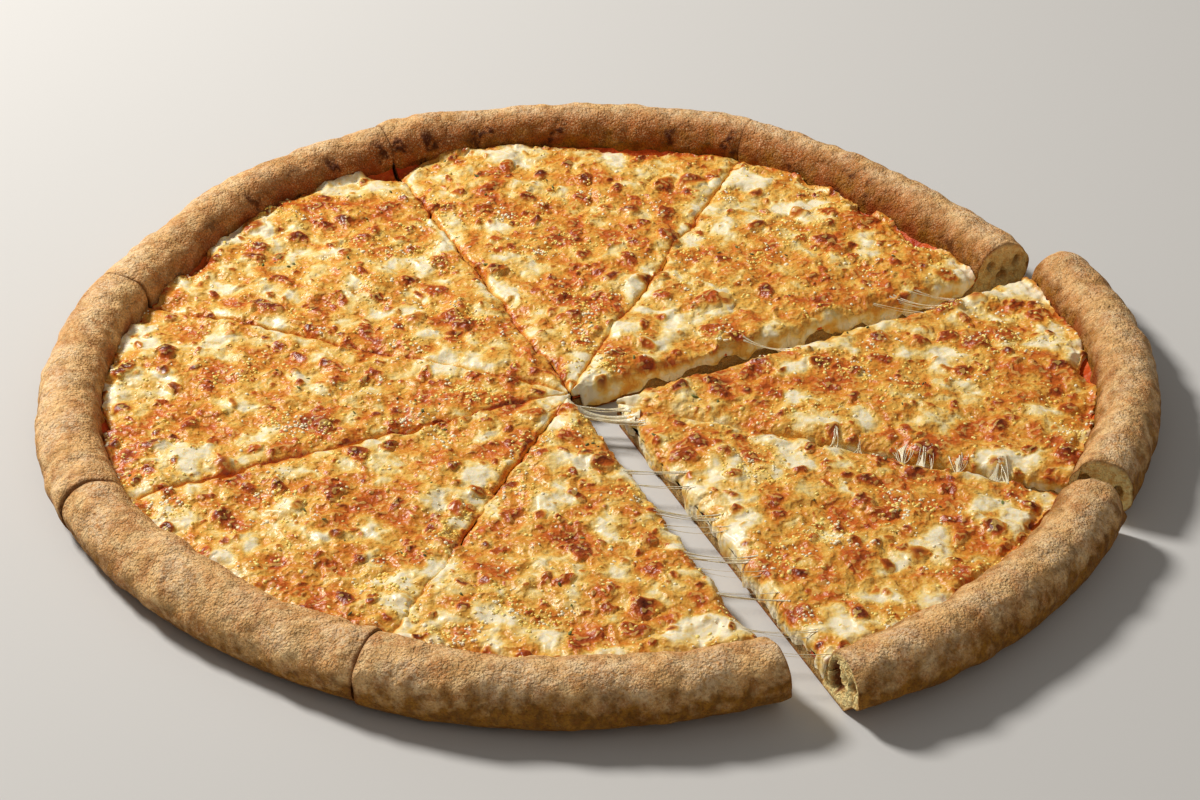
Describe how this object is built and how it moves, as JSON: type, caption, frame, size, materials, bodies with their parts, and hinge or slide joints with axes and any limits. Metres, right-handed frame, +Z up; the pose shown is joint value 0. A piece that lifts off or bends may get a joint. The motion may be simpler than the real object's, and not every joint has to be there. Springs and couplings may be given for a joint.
{
  "type": "sliced cheese pizza",
  "caption": "Large round cheese pizza with a risen rim, cut into wedges, with two of them drawn out on cheese strands.",
  "frame": {"origin": "on the flat underside, in the middle of the uncut round", "axes": "+Z up, out of the cheese; +X towards the two drawn wedges; -Y towards the viewer of the picture"},
  "size_m": [0.3698, 0.3459, 0.0215],
  "materials": {
    "baked_dough": "matt, floury, browned in places",
    "tomato_sauce": "moist, half gloss",
    "melted_cheese": "oily gloss, blistered and browned"
  },
  "bodies": {
    "root": {"slice_1_dough": "baked_dough", "slice_1_sauce": "tomato_sauce", "slice_1_cheese": "melted_cheese", "slice_2_dough": "baked_dough", "slice_2_sauce": "tomato_sauce", "slice_2_cheese": "melted_cheese", "slice_3_dough": "baked_dough", "slice_3_sauce": "tomato_sauce", "slice_3_cheese": "melted_cheese", "slice_4_dough": "baked_dough", "slice_4_sauce": "tomato_sauce", "slice_4_cheese": "melted_cheese", "slice_5_dough": "baked_dough", "slice_5_sauce": "tomato_sauce", "slice_5_cheese": "melted_cheese", "slice_6_dough": "baked_dough", "slice_6_sauce": "tomato_sauce", "slice_6_cheese": "melted_cheese", "slice_7_dough": "baked_dough", "slice_7_sauce": "tomato_sauce", "slice_7_cheese": "melted_cheese", "slice_8_dough": "baked_dough", "slice_8_sauce": "tomato_sauce", "slice_8_cheese": "melted_cheese"}
  },
  "joints": []
}
